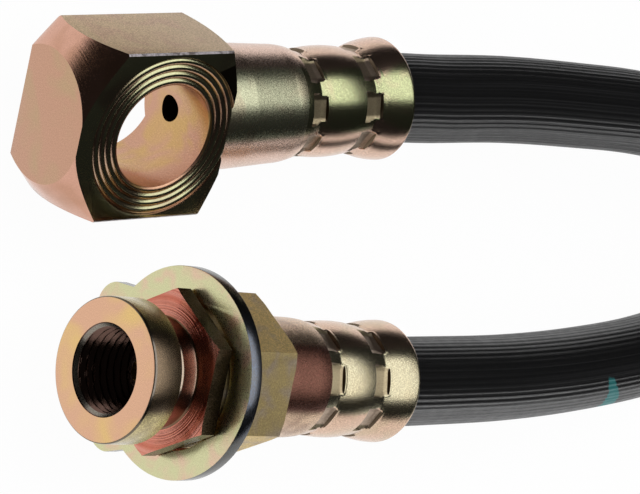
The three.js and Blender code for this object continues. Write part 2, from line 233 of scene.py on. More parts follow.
class WasherSettings(bpy.types.PropertyGroup):
    radius: size("Radius", "Radius of the bracket washer", 11.63)
    thickness: size("Thickness", "Thickness of the sheet", 1.65)
    foot_drop: size("Foot drop", "Foot's flat edge below the fitting's axis", 13.2)
    face: tint("Face", "Colour of the washer's face", 216, 214, 168)


def reach(name, text, *metres):
    """One length of the stage in metres, or several that belong together."""
    if len(metres) == 1:
        return bpy.props.FloatProperty(name=name, description=text, default=metres[0], unit="LENGTH")
    return bpy.props.FloatVectorProperty(
        name=name, description=text, default=metres, size=len(metres), unit="LENGTH"
    )


class StageSettings(bpy.types.PropertyGroup):
    focal_length: bpy.props.FloatProperty(
        name="Focal length", description="Lens for a 36 mm wide sensor, in millimetres", default=166.57, min=1
    )
    distance: size("Camera distance", "Distance from the camera to the point it looks at", 342.56)
    elevation: bpy.props.FloatProperty(
        name="Elevation",
        description="Angle of the camera above the table",
        default=math.radians(46),
        subtype="ANGLE",
    )
    floor: tint("Floor", "Colour of the table", 250, 250, 250)
    sheet_near: reach("Sheet towards the camera", "Reach of the white sheet towards the camera", 0.9)
    sheet_far: reach("Sheet away from the camera", "Reach of the white sheet behind the object", 1.2)
    sheet_left: reach("Sheet's short side", "Reach of the white sheet beside the banjo fitting", 0.085)
    sheet_right: reach("Sheet's long side", "Reach of the white sheet beside the threaded fitting", 0.7)
    sheet_rise: reach("Sheet's rise", "Height that the sheet turns up to at its long side", 0.225)
    banjo_softbox_at: reach(
        "Banjo softbox place", "Middle of the softbox over the banjo end", 0.19, 0.315, 0.7
    )
    banjo_softbox_size: reach("Banjo softbox size", "Length and width of that softbox", 0.8, 0.7)
    threaded_softbox_at: reach(
        "Threaded softbox place", "Middle of the softbox over the threaded end", 0.33, 0.06, 0.7
    )
    threaded_softbox_size: reach("Threaded softbox size", "Length and width of that softbox", 1.08, 1.07)
    strip_at: reach("Strip place", "Middle of the low strip light beside the hose", 0.25, -0.65, 0.12)
    strip_size: reach("Strip size", "Length and height of that strip light", 1.6, 0.2)


# Shapes


def place_of(place):
    """Matrix from a fitting's own millimetres to the row frame in metres."""
    turn = (
        Matrix.Rotation(math.radians(place["yaw"]), 4, "Z")
        @ Matrix.Rotation(math.radians(place["droop"]), 4, "Y")
        @ Matrix.Rotation(math.radians(place["roll"]), 4, "X")
    )
    at = Vector(place["at"]) - Vector(FOOTPRINT_CENTRE)
    return Matrix.Scale(MM, 4) @ Matrix.Translation(at) @ turn


def mesh_from(name, points, faces):
    mesh = bpy.data.meshes.new(name)
    mesh.from_pydata(points, [], faces)
    mesh.validate()
    return mesh


def solid_from(name, points, faces):
    """Mesh of a closed body, its faces turned outwards."""
    mesh = mesh_from(name, points, faces)
    body = bmesh.new()
    body.from_mesh(mesh)
    bmesh.ops.recalc_face_normals(body, faces=body.faces)
    body.to_mesh(mesh)
    body.free()
    return mesh


def side_faces(rows, around, closed=False):
    """Faces between neighbouring rings of points; closed joins the last ring to the first."""
    faces = []
    for i in range(rows if closed else rows - 1):
        a, b = i * around, (i + 1) % rows * around
        for j in range(around):
            k = (j + 1) % around
            faces.append((a + j, a + k, b + k, b + j))
    return faces


def wrap(name, rings):
    """Closed body from rings of points that all have the same count, each end shut by one point."""
    around = len(rings[0])
    points = [p for ring in rings for p in ring]
    faces = side_faces(len(rings), around)
    for first, flip in ((0, False), ((len(rings) - 1) * around, True)):
        middle = len(points)
        ring = points[first : first + around]
        points.append(tuple(sum(p[axis] for p in ring) / around for axis in range(3)))
        for j in range(around):
            k = (j + 1) % around
            faces.append((first + j, first + k, middle) if flip else (first + k, first + j, middle))
    return solid_from(name, points, faces)


def circle(along, radius, around, radius_at=None):
    """Ring of points about X."""
    points = []
    for j in range(around):
        angle = 2 * math.pi * j / around
        here = radius_at(along, radius, angle) if radius_at else radius
        points.append((along, -here * math.sin(angle), here * math.cos(angle)))
    return points


def turned(name, outline, around=128, radius_at=None):
    """Body turned about X from (along, radius) pairs; radius_at may press the outside in."""
    return wrap(name, [circle(along, radius, around, radius_at) for along, radius in outline])


def turned_ring(name, outline, around=160):
    """Ring turned about X from a closed outline of (along, radius) pairs."""
    points = [p for along, radius in outline for p in circle(along, radius, around)]
    return solid_from(name, points, side_faces(len(outline), around, closed=True))


def rod(name, start, end, radius, around):
    return turned(name, [(start, AXIS), (start, radius), (end, radius), (end, AXIS)], around)


def slab(name, outline, low, high):
    """Prism along Z over a plane outline."""
    count = len(outline)
    points = [(x, y, z) for z in (low, high) for x, y in outline]
    faces = [tuple(reversed(range(count))), tuple(range(count, 2 * count))]
    faces += [(i, (i + 1) % count, count + (i + 1) % count, count + i) for i in range(count)]
    return solid_from(name, points, faces)


def arc(centre, radius, start, sweep, steps):
    """Points of a plane arc."""
    angles = [start + sweep * i / steps for i in range(steps + 1)]
    return [(centre[0] + radius * math.cos(a), centre[1] + radius * math.sin(a)) for a in angles]


def moved(mesh, matrix):
    mesh.transform(matrix)
    return mesh


def linked(name, data):
    """New object in the scene's collection."""
    thing = bpy.data.objects.new(name, data)
    bpy.context.collection.objects.link(thing)
    return thing


def worked(mesh, steps):
    """Runs modifiers over a mesh and returns the result; each step is (kind, settings)."""
    thing = linked("workpiece", mesh)
    helpers = []
    for kind, settings in steps:
        modifier = thing.modifiers.new(kind.lower(), kind)
        for key, value in settings.items():
            if key == "object":
                value = linked("tool", value)
                helpers.append(value)
            setattr(modifier, key, value)
    bpy.context.view_layer.update()
    graph = bpy.context.evaluated_depsgraph_get()
    result = bpy.data.meshes.new_from_object(thing.evaluated_get(graph))
    if not result.polygons:
        raise RuntimeError(f"{mesh.name} came out empty")
    for helper in [*helpers, thing]:
        bpy.data.objects.remove(helper)
    return result


def joined(mesh, *tools, operation="UNION"):
    steps = [("BOOLEAN", {"operation": operation, "solver": "MANIFOLD", "object": tool}) for tool in tools]
    return worked(mesh, steps)


def cut(mesh, *tools):
    return joined(mesh, *tools, operation="DIFFERENCE")


def kept_inside(mesh, *tools):
    return joined(mesh, *tools, operation="INTERSECT")


def softened(mesh, width, angle=30, segments=2):
    """Rounds the sharp edges a little, so that they catch the light."""
    settings = {
        "width": width,
        "segments": segments,
        "limit_method": "ANGLE",
        "angle_limit": math.radians(angle),
        "use_clamp_overlap": True,
        "miter_outer": "MITER_ARC",
    }
    return worked(mesh, [("BEVEL", settings)])


def finished(name, mesh, place, finishes, finish_of):
    """Puts a fitting's body in the row frame, with its own millimetres kept for the shaders.

    Each face takes the finish that finish_of names for its centre and normal.
    """
    local = [c for v in mesh.vertices for c in v.co]
    mesh.materials.clear()
    for finish in finishes:
        mesh.materials.append(bpy.data.materials[finish])
    for face in mesh.polygons:
        face.material_index = finishes.index(finish_of(face.center, face.normal))
        face.use_smooth = True
    mesh.transform(place_of(place))
    mesh.attributes.new("made_at", "FLOAT_VECTOR", "POINT").data.foreach_set("vector", local)
    mesh.set_sharp_from_angle(angle=math.radians(SHARP_ANGLE))
    mesh.name = name
    return linked(name, mesh)


def socket_outside(sizes, from_rim):
    """Outside radius of a socket between the jaw marks, at a distance from its rim."""
    outer, inner = sizes["waists"]

    def bulge(top, distance, length):
        return top - (top - sizes["waist"]) * max(0.0, 1 - distance / length) ** 2

    if from_rim < outer:
        return bulge(sizes["rim_radius"], outer - from_rim, outer)
    if from_rim > inner:
        swell = max(0.0, min(1.0, (from_rim - inner - NECK_REACH) / NECK_SWELL_RUN)) * sizes["swell"]
        return bulge(sizes["neck"], from_rim - inner, NECK_REACH) + swell
    half = (inner - outer) / 2
    return bulge(sizes["crest"], half - abs(from_rim - (outer + inner) / 2), half)


def jaw_floor_radius(sizes, crimp, from_rim, angle):
    """Radius of the nearest jaw mark's floor or flank at a place on a socket, or None outside the marks."""
    half_floor = crimp.jaw_floor / MM / 2
    half_length = crimp.jaw_length / MM / 2
    middle = min(sizes["waists"], key=lambda waist: abs(from_rim - sizes["set_back"] - waist))
    if abs(from_rim - sizes["set_back"] - middle) > half_length:
        return None
    pitch = 2 * math.pi / crimp.jaws
    turn = (angle - math.radians(sizes["turn"]) + pitch / 2) % pitch - pitch / 2
    lean = math.tan(abs(turn))
    height = sizes["jaw"]
    if from_rim < middle:
        height = max(height, socket_outside(sizes, from_rim) - sizes["wall"])
    if lean * height > JAW_HALF_WIDTH:
        return None
    if lean * height > half_floor:
        height = (height - half_floor * JAW_FLANK) / (1 - JAW_FLANK * lean)
    return height / math.cos(turn)


def socket_finish(sizes, crimp, centre, normal, plain):
    """Which finish a face of a socket takes: a mark's floor, its end wall or the plain outside."""
    from_rim = sizes["rim"] - centre.x
    radius = math.hypot(centre.y, centre.z)
    if radius < INSIDE_SOCKET:
        return "hidden_bore"
    if from_rim < PLAIN_RIM:
        return plain
    distance = min(abs(from_rim - sizes["set_back"] - waist) for waist in sizes["waists"])
    if distance > crimp.jaw_length / MM / 2 + 0.2:
        return plain
    # End walls of the jaw marks take a dark finish: painted shade.
    if abs(normal.x) > 0.75:
        return "jaw_walls_painted_shade"
    if radius < socket_outside(sizes, from_rim) - 0.03:
        return "jaw_marks"
    return plain


def crimped_socket(name, start, sizes, crimp):
    """Neck and socket with waists and jaw marks, hollow from the rim inwards."""
    rim = sizes["rim"]

    def pressed(along, radius, angle):
        if radius < INSIDE_SOCKET or along > rim - RIM_ROUNDING:
            return radius
        floor = jaw_floor_radius(sizes, crimp, rim - along, angle)
        if floor is not None:
            return min(radius, floor)
        # The steel stands up in a fine burr just outside each mark
        beside = jaw_floor_radius(sizes, crimp, rim - along + JAW_BURR_LENGTH, angle)
        return radius + JAW_BURR if beside is not None and beside < radius else radius

    outline = [(start, AXIS), (start, socket_outside(sizes, rim - start))]
    smooth_from = rim - start - 0.1
    rows = int((smooth_from - RIM_ROUNDING) / ROW_STEP)
    for i in range(rows + 1):
        from_rim = smooth_from + (RIM_ROUNDING - smooth_from) * i / rows
        outline.append((rim - from_rim, socket_outside(sizes, from_rim)))
    for i in range(1, 6):
        angle = math.pi / 2 * i / 5
        along = rim - RIM_ROUNDING + RIM_ROUNDING * math.sin(angle)
        outline.append((along, sizes["rim_radius"] - RIM_ROUNDING + RIM_ROUNDING * math.cos(angle)))
    mouth, bore = crimp.mouth_radius / MM, crimp.bore_radius / MM
    mouth_end, bore_end = rim - crimp.mouth_depth / MM, rim - crimp.depth / MM
    outline += [
        (rim, mouth + 0.25),
        (rim - 0.25, mouth),
        (mouth_end, mouth),
        (mouth_end - 1.5, bore),
        (bore_end, bore),
        (bore_end, 2.2),
        (bore_end - 3, 2.2),
        (bore_end - 3, AXIS),
    ]
    return turned(name, outline, around=288, radius_at=pressed)


def route_points():
    """Centre line of the hose through its route and into both sockets, and how deep each point is."""
    scene = bpy.context.scene
    banjo, female = place_of(BANJO_PLACE), place_of(FEMALE_PLACE)
    banjo_rim, female_rim = scene.banjo_end.length / MM, scene.female_end.length / MM
    centre = Vector(FOOTPRINT_CENTRE) * MM
    nodes = [banjo @ Vector((banjo_rim + d, 0, 0)) for d in (-2, 2)]
    nodes += [Vector(p) - centre for p in HOSE_ROUTE]
    nodes += [female @ Vector((female_rim + d, 0, 0)) for d in (2, -2)]
    depth = scene.crimp.depth / MM - 0.3
    steps = 12
    lead = [banjo @ Vector((banjo_rim - depth + (depth - 2) * i / steps, 0, 0)) for i in range(steps)]
    tail = [female @ Vector((female_rim - 2 - (depth - 2) * i / steps, 0, 0)) for i in range(1, steps + 1)]
    line = [*lead, *spline_through(nodes), *tail]
    inside = []
    for point in line:
        depth = NOT_IN_SOCKET
        for end, place, rim in ((line[0], banjo, banjo_rim), (line[-1], female, female_rim)):
            if (point - end).length < NEAR_SOCKET:
                depth = rim - (place.inverted() @ point).x
        inside.append(depth)
    return line, inside


def spline_through(nodes):
    """Centripetal curve through the nodes, sampled at about even steps."""
    ends = [nodes[0] * 2 - nodes[1], nodes[-1] * 2 - nodes[-2]]
    nodes = [ends[0], *nodes, ends[1]]
    samples = []
    for i in range(1, len(nodes) - 2):
        p0, p1, p2, p3 = nodes[i - 1 : i + 3]
        t01 = math.sqrt((p1 - p0).length)
        t12 = math.sqrt((p2 - p1).length)
        t23 = math.sqrt((p3 - p2).length)
        m1 = (p1 - p0) / t01 - (p2 - p0) / (t01 + t12) + (p2 - p1) / t12
        m2 = (p2 - p1) / t12 - (p3 - p1) / (t12 + t23) + (p3 - p2) / t23
        m1 *= t12
        m2 *= t12
        count = max(4, round((p2 - p1).length / HOSE_STEP))
        for j in range(count):
            t = j / count
            samples.append(
                p1 * (2 * t**3 - 3 * t**2 + 1)
                + m1 * (t**3 - 2 * t**2 + t)
                + p2 * (-2 * t**3 + 3 * t**2)
                + m2 * (t**3 - t**2)
            )
    samples.append(nodes[-2])
    return samples


# Shaders


class Wiring:
    """Short ways to add and link nodes in one tree."""

    def __init__(self, tree):
        self.tree = tree

    def node(self, kind, feeds=None, **settings):
        """Adds a node with its own settings and feeds its inputs."""
        made = self.tree.nodes.new(kind)
        for key, value in settings.items():
            setattr(made, key, value)
        for label, value in (feeds or {}).items():
            self.feed(made, label, value)
        return made

    def feed(self, node, label, value):
        """Links an output to an input, or sets the input to a plain value."""
        if isinstance(value, bpy.types.NodeSocket):
            self.tree.links.new(value, node.inputs[label])
        else:
            node.inputs[label].default_value = value

    def group(self, name, feeds):
        return self.node("ShaderNodeGroup", feeds, node_tree=bpy.data.node_groups[name]).outputs

    def attribute(self, name, output):
        return self.node("ShaderNodeAttribute", attribute_name=name).outputs[output]

    def maths(self, operation, *values, clamp=False):
        feeds = dict(enumerate(values))
        return self.node("ShaderNodeMath", feeds, operation=operation, use_clamp=clamp).outputs[0]

    def times(self, first, second):
        return self.maths("MULTIPLY", first, second)

    def plus(self, first, second):
        return self.maths("ADD", first, second)

    def minus(self, first, second):
        return self.maths("SUBTRACT", first, second)

    def noise(self, vector, scale, detail, roughness, distortion=0.0):
        feeds = {"Vector": vector, "Scale": scale, "Detail": detail}
        feeds |= {"Roughness": roughness, "Distortion": distortion}
        return self.node("ShaderNodeTexNoise", feeds).outputs["Fac"]

    def spread(self, value, low, high, to_low=0.0, to_high=1.0):
        feeds = {"Value": value, "From Min": low, "From Max": high, "To Min": to_low, "To Max": to_high}
        return self.node("ShaderNodeMapRange", feeds, interpolation_type="SMOOTHSTEP").outputs["Result"]

    def blend(self, factor, first, second):
        feeds = {0: factor, 6: first, 7: second}
        return self.node("ShaderNodeMix", feeds, data_type="RGBA").outputs[2]

    def split(self, vector):
        return self.node("ShaderNodeSeparateXYZ", {0: vector}).outputs

    def vector(self, x, y=0.0):
        return self.node("ShaderNodeCombineXYZ", {0: x, 1: y}).outputs[0]

    def bump(self, height, strength, distance):
        feeds = {"Height": height, "Strength": strength, "Distance": distance}
        return self.node("ShaderNodeBump", feeds).outputs["Normal"]


def node_group(name, inputs, outputs):
    """Empty group whose inputs and outputs have these kinds."""
    group = bpy.data.node_groups.new(name, "ShaderNodeTree")
    for way, kinds in (("INPUT", inputs), ("OUTPUT", outputs)):
        for label, kind in kinds.items():
            group.interface.new_socket(label, in_out=way, socket_type=kind)
    enter = group.nodes.new("NodeGroupInput").outputs
    leave = group.nodes.new("NodeGroupOutput")
    return Wiring(group), enter, leave


def plating_and_reflection_tint_group():
    """Colour of the zinc plating with drifting stains: one hue facing up, partly a painted tint of the
    softbox's highlight, and one facing sideways, partly a painted reflection of the floor.
    """
    w, enter, leave = node_group(
        "plating_and_reflection_tint",
        {
            "Position": "NodeSocketVector",
            "Facing": "NodeSocketVector",
            "Up Colour": "NodeSocketColor",
            "Side Colour": "NodeSocketColor",
            "Stain Colour": "NodeSocketColor",
            "Stain Size": "NodeSocketFloat",
            "Stain Amount": "NodeSocketFloat",
            "Fleck Amount": "NodeSocketFloat",
        },
        {"Colour": "NodeSocketColor", "Flecks": "NodeSocketFloat"},
    )
    up = w.spread(w.split(enter["Facing"])[2], *UP_HUE_FROM)
    colour = w.blend(up, enter["Side Colour"], enter["Up Colour"])
    stain = w.spread(w.noise(enter["Position"], enter["Stain Size"], 2.0, 0.55, 0.4), 0.45, 0.7)
    colour = w.blend(w.times(stain, enter["Stain Amount"]), colour, enter["Stain Colour"])
    flecks = w.spread(w.noise(enter["Position"], 6.0, 4.0, 0.75), 0.38, 0.66)
    gaps = w.times(w.minus(1.0, flecks), enter["Fleck Amount"])
    w.feed(leave, "Colour", w.blend(gaps, colour, FLECK_COLOUR))
    w.feed(leave, "Flecks", flecks)


def turning_marks_group():
    """Fine rings that a lathe leaves on an end face, and broad bands among them."""
    w, enter, leave = node_group(
        "turning_marks",
        {"Position": "NodeSocketVector"},
        {"Rings": "NodeSocketFloat", "Bands": "NodeSocketFloat"},
    )
    _, y, z = w.split(enter["Position"])
    radius = w.maths("SQRT", w.plus(w.times(y, y), w.times(z, z)))
    rings = w.noise(w.vector(w.times(radius, RINGS_PER_MM)), 1.0, 3.0, 0.7)
    bands = w.noise(w.vector(w.times(radius, BANDS_PER_MM)), 1.0, 2.0, 0.6)
    w.feed(leave, "Rings", w.spread(rings, 0.3, 0.7))
    w.feed(leave, "Bands", w.spread(bands, 0.35, 0.65))


def new_material(name, metal=0.0):
    """Material with its wiring and its shader."""
    material = bpy.data.materials.new(name)
    material.use_nodes = True
    shader = material.node_tree.nodes["Principled BSDF"]
    shader.inputs["Metallic"].default_value = metal
    return material, Wiring(material.node_tree), shader


def plated(name, up, side, stain, rough, flecks, stains, stain_size, grain):
    """Steel with zinc plating in the colours of one region of a fitting, its hue partly the plating's own
    iridescence and partly a painted reflection that follows which way each face looks.
    """
    _, w, shader = new_material(name, METAL_LEFT.get(name, 1.0))
    position = w.attribute("made_at", "Vector")
    feeds = {"Position": position, "Facing": w.node("ShaderNodeNewGeometry").outputs["Normal"]}
    feeds |= {"Up Colour": up, "Side Colour": side, "Stain Colour": stain}
    feeds |= {"Stain Size": stain_size, "Stain Amount": stains, "Fleck Amount": flecks}
    plating = w.group("plating_and_reflection_tint", feeds)
    colour = plating["Colour"]
    height = w.times(plating["Flecks"], grain)
    if name in RINGS:
        marks = w.group("turning_marks", {"Position": position})
        height = w.plus(height, w.times(marks["Rings"], RINGS[name]))
        if name in RING_TINTS:
            colour = w.blend(w.times(marks["Bands"], 0.55), colour, screen_colour(*RING_TINTS[name]))
    w.feed(shader, "Base Color", colour)
    w.feed(shader, "Roughness", w.spread(plating["Flecks"], 0.0, 1.0, rough + 0.05, rough - 0.03))
    w.feed(shader, "Normal", w.bump(height, 0.6, 0.1 * MM))


def rubber_material(settings):
    """Black rubber with paler lines along it and the paint dab on the lower run."""
    material, w, shader = new_material("ribbed_rubber")
    seam = w.vector(w.times(w.attribute("around", "Fac"), 90.0), w.times(w.attribute("along", "Fac"), 8.0))
    lines = w.noise(seam, 1.0, 3.0, 0.65)
    where = w.node("ShaderNodeTexCoord").outputs["Object"]
    grain = w.spread(w.noise(where, 900.0, 4.0, 0.7), 0.35, 0.7)
    pale = [min(1.0, c * 2.4 + 0.004) for c in settings.rubber]
    colour = w.blend(w.spread(lines, 0.45, 0.75), (*settings.rubber, 1.0), (*pale, 1.0))
    patch = dab_mask(w, where)
    w.feed(shader, "Base Color", w.blend(w.times(patch, 0.94), colour, (*settings.dab, 1.0)))
    rubbed = w.spread(grain, 0.0, 1.0, 0.4, 0.33)
    w.feed(shader, "Roughness", w.plus(rubbed, w.times(patch, 0.15)))
    w.feed(shader, "Normal", w.bump(w.plus(lines, w.times(grain, 0.08)), 0.5, 0.08 * MM))
    return material


def dab_mask(w, where):
    """Brush mark of paint on the lower run: a slanting wedge that is widest at its low end."""
    x, y, _ = w.split(where)
    down = w.minus(DAB_TOP, y)
    middle = w.plus(DAB_MIDDLE, w.times(down, DAB_SLANT))
    half_width = w.plus(DAB_HALF_WIDTH, w.times(down, DAB_WIDENING))
    ragged = w.times(w.minus(w.noise(where, 700.0, 3.0, 0.7), 0.5), 0.0014)
    off = w.plus(w.maths("ABSOLUTE", w.minus(x, middle)), ragged)
    side = w.spread(w.minus(half_width, off), 0.0, 0.0003)
    end = w.spread(w.plus(down, ragged), 0.0, 0.0004)
    low = w.spread(x, 0.1, 0.08)
    return w.times(w.times(side, end), low)


def insert_material():
    """Bare steel with fine streaks along X, for the insert tubes."""
    material, w, shader = new_material("drawn_steel", metal=1.0)
    where = w.node("ShaderNodeTexCoord").outputs["Object"]
    stretch = {0: where, 1: (300.0, 4000.0, 4000.0)}
    stretched = w.node("ShaderNodeVectorMath", stretch, operation="MULTIPLY").outputs[0]
    streaks = w.noise(stretched, 1.0, 3.0, 0.6)
    w.feed(shader, "Base Color", w.blend(streaks, screen_colour(120, 122, 122), screen_colour(176, 176, 172)))
    w.feed(shader, "Roughness", w.spread(streaks, 0.3, 0.7, 0.3, 0.48))
    return material


def table_material(floor):
    """White sheet: even white to the eye and in reflections, and the floor's colour to all other light."""
    material, w, plain = new_material("table_white")
    w.feed(plain, "Base Color", (*floor, 1))
    w.feed(plain, "Roughness", 0.8)
    w.feed(plain, "Specular IOR Level", 0.0)
    rays = w.node("ShaderNodeLightPath").outputs
    seen = w.maths("MAXIMUM", rays["Is Camera Ray"], rays["Is Glossy Ray"])
    seen = w.maths("MAXIMUM", seen, rays["Is Transmission Ray"])
    white = w.node("ShaderNodeEmission", {"Color": (1, 1, 1, 1), "Strength": 1.0})
    feeds = {0: w.times(seen, SHEET_WHITE), 1: plain.outputs[0], 2: white.outputs[0]}
    mix = w.node("ShaderNodeMixShader", feeds).outputs[0]
    w.feed(w.tree.nodes["Material Output"], "Surface", mix)
    return material


# Operators


class BRAKEHOSE_OT_camera(bpy.types.Operator):
    """Place the camera at the photograph's angle"""

    bl_idname = "brakehose.camera"
    bl_label = "Camera"

    def execute(self, context):
        stage = context.scene.hose_stage
        lens = bpy.data.cameras.new("camera")
        lens.sensor_width = 36
        lens.lens = stage.focal_length
        lens.clip_start = 0.01
        camera = linked("camera", lens)
        lean = stage.elevation
        right = Vector((math.sin(lean), 0, math.cos(lean)))
        up = Vector((0, 1, 0))
        back = Vector((-math.cos(lean), 0, math.sin(lean)))
        target = Vector((0, 0, 8)) * MM - Vector(FOOTPRINT_CENTRE) * MM
        turn = Matrix((right, up, back)).transposed().to_4x4()
        camera.matrix_world = Matrix.Translation(target + back * stage.distance) @ turn
        context.scene.camera = camera
        return {"FINISHED"}


class BRAKEHOSE_OT_hose(bpy.types.Operator):
    """Lay the rubber hose along its route"""

    bl_idname = "brakehose.hose"
    bl_label = "Rubber hose"

    def execute(self, context):
        settings = context.scene.hose
        line, inside = route_points()
        mouth = context.scene.crimp.mouth_depth / MM
        around = settings.ribs * RIB_POINTS
        tangent = (line[1] - line[0]).normalized()
        side = tangent.cross(Vector((0, 0, 1))).normalized()
        # Some ribs stand out more than others
        rib_depths = [
            0.45 + 0.55 * abs(math.sin(2.4 * i) * math.cos(0.9 * i + 0.4)) for i in range(settings.ribs)
        ]
        rings = []
        travelled = [0.0]
        for i, point in enumerate(line):
            ahead = line[min(i + 1, len(line) - 1)]
            behind = line[max(i - 1, 0)]
            tangent = (ahead - behind).normalized()
            side = (side - tangent * side.dot(tangent)).normalized()
            other = tangent.cross(side)
            if i:
                travelled.append(travelled[-1] + (point - behind).length)
            # The hose is drawn in a little at the rim and squeezed behind the mouth
            squeeze = min(1.0, max(0.0, (inside[i] - mouth + 0.3) / 1.5))
            radius = settings.diameter / 2
            if inside[i] > -1:
                radius -= DRAWN_IN * min(1.0, inside[i] + 1)
            radius += (settings.squeezed_radius - radius) * squeeze
            ring = []
            for j in range(around):
                angle = 2 * math.pi * j / around
                groove = 0.5 - 0.5 * math.cos(2 * math.pi * j / RIB_POINTS)
                depth = settings.rib_depth * rib_depths[j // RIB_POINTS] * groove
                here = radius - depth * (1 - squeeze)
                ring.append(tuple(point + (side * math.cos(angle) + other * math.sin(angle)) * here))
            rings.append(ring)
        mesh = wrap("rubber_hose", rings)
        run = [way for way in travelled for _ in range(around)] + [0.0, travelled[-1]]
        turn = [abs(2 * j / around - 1) for j in range(around)] * len(rings) + [0.0, 0.0]
        for label, values in (("along", run), ("around", turn)):
            mesh.attributes.new(label, "FLOAT", "POINT").data.foreach_set("value", values)
        for face in mesh.polygons:
            face.use_smooth = True
        mesh.materials.append(rubber_material(settings))
        piece = linked("rubber_hose", mesh)
        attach(piece, "root")
        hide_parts("hose")
        return {"FINISHED"}


def ridge_cutter(inner, pitch, height, out):
    """Ring that cuts rounded ridges into a seat face at a height along the bore."""
    clear = height + out * 0.6
    outline = [(clear, inner)]
    for i in range(RIDGES * RIDGE_STEPS + 1):
        across = 2 * (i % RIDGE_STEPS) / RIDGE_STEPS - 1
        depth = 0.02 + RIDGE_DEPTH * abs(across) ** 2.2
        outline.append((height - out * depth, inner + pitch * i / RIDGE_STEPS))
    outline.append((clear, outline[-1][1] + 0.5))
    return turned_ring("ridge_cutter", outline)


class BRAKEHOSE_OT_banjo(bpy.types.Operator):
    """Turn the banjo block fitting with its sealing ridges and crimped socket"""

    bl_idname = "brakehose.banjo"
    bl_label = "Banjo fitting"

    def execute(self, context):
        s, crimp = context.scene.banjo_end, context.scene.crimp
        half = s.block_width / MM / 2
        front, back = s.block_front / MM, s.block_back / MM
        length, bore_at = s.block_length / MM, s.bore_from_end / MM
        end_radius, neck_end_radius = 7.5, 8.8
        corner = math.hypot(half, front) + 1
        end_run = (corner - end_radius) / math.tan(math.radians(END_CONE))
        neck_run = (corner - neck_end_radius) / math.tan(math.radians(NECK_CONE))
        near = half - WORN_EDGE
        low, high = WORN_EDGE - back, front - WORN_EDGE
        section = [(-near, -back), (near, -back), (half, low), (half, high)]
        section += [(near, front), (-near, front), (-half, high), (-half, low)]
        lengthwise = Matrix(((0, 0, 1, 0), (1, 0, 0, 0), (0, 1, 0, 0), (0, 0, 0, 1)))
        bar = moved(slab("bar", section, 0, length), lengthwise)
        cones = [(0, AXIS), (0, end_radius), (end_run, corner)]
        cones += [(length - neck_run, corner), (length, neck_end_radius), (length, AXIS)]
        block = softened(kept_inside(bar, turned("cones", cones, around=240)), 0.06)
        sizes = {
            "rim": s.length / MM,
            "waists": (4.95, 13.0),
            "rim_radius": s.rim_radius / MM,
            "neck": s.neck_radius / MM,
            "crest": 6.4,
            "waist": 5.97,
            "jaw": 5.7,
            "wall": 0.27,
            "set_back": 0.5,
            "swell": 0.3,
            "turn": -15.6,
        }
        barrel = crimped_socket("banjo_barrel", length - 1, sizes, crimp)
        upright = Matrix.Translation((bore_at, 0, 0)) @ Matrix.Rotation(-math.pi / 2, 4, "Y")
        bore_radius = s.bore / MM / 2
        step_radius, step_depth = bore_radius + 0.85, 0.7
        bore_outline = [
            (-back - 2, AXIS),
            (-back - 2, step_radius),
            (-back + step_depth, step_radius),
            (-back + step_depth, bore_radius),
            (front - 0.2, bore_radius),
            (front + 2, bore_radius + 1.2),
            (front + 2, AXIS),
        ]
        bore = moved(turned("bore", bore_outline, around=160), upright)
        oil_way = rod("oil_way", bore_at, sizes["rim"] - OIL_WAY_END, 1.5, around=48)
        grooves = [
            moved(ridge_cutter(bore_radius - 0.02, s.ridge_pitch / MM, height, out), upright)
            for height, out in ((front, 1), (-back, -1))
        ]
        body = cut(joined(block, barrel), bore, oil_way, *grooves)
        finishes = ["block_side", "block_cone", "block_face_painted_dark", "ridges", "bolt_bore", "neck", "jaw_marks"]
        finishes += ["hidden_bore", "block_end", "worn_edges_and_painted_glint", "jaw_walls_painted_shade", "socket"]
        socket_start = s.length / MM - sizes["waists"][1] - 2.5

        def finish_of(centre, normal):
            from_bore = math.hypot(centre.x - bore_at, centre.y)
            from_seat = min(abs(centre.z - front), abs(centre.z + back))
            if centre.x > length - 0.02:
                plain = "neck" if centre.x < socket_start else "socket"
                return socket_finish(sizes, crimp, centre, normal, plain)
            if from_bore < bore_radius + 0.3 and -back < centre.z < front:
                return "bolt_bore"
            if from_bore < step_radius + 0.05 and -back < centre.z < -back + step_depth + 0.05:
                return "bolt_bore"
            if centre.x < 0.04 and normal.x < -0.99:
                return "block_end"
            # Chamfers by the seat faces take a pale, part-metallic finish: partly worn plating, partly a
            # painted glint.
            on_chamfer = 0.25 < abs(normal.z) < 0.97 and abs(normal.y) > 0.2 and abs(normal.x) < 0.2
            if on_chamfer and from_bore > 9.5 and from_seat < 0.2:
                return "worn_edges_and_painted_glint"
            if abs(normal.z) > 0.5 and from_seat < 0.5 and from_bore < 9.2:
                return "ridges"
            # Seat faces take a near-black finish: painted dark reflection.
            if abs(normal.z) > 0.9 and from_seat < 0.1:
                return "block_face_painted_dark"
            if abs(normal.y) > 0.9:
                return "block_side"
            # The barrel's front disc shows under the bolt hole's rim
            if centre.x > bore_at and normal.x < -0.9:
                return "bolt_bore"
            # Other faces past the bolt hole also take the near-black finish of painted dark reflection.
            return "block_cone" if centre.x < bore_at else "block_face_painted_dark"

        piece = finished("banjo_body", body, BANJO_PLACE, finishes, finish_of)
        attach(piece, "root")
        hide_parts("banjo_fitting_body")
        return {"FINISHED"}


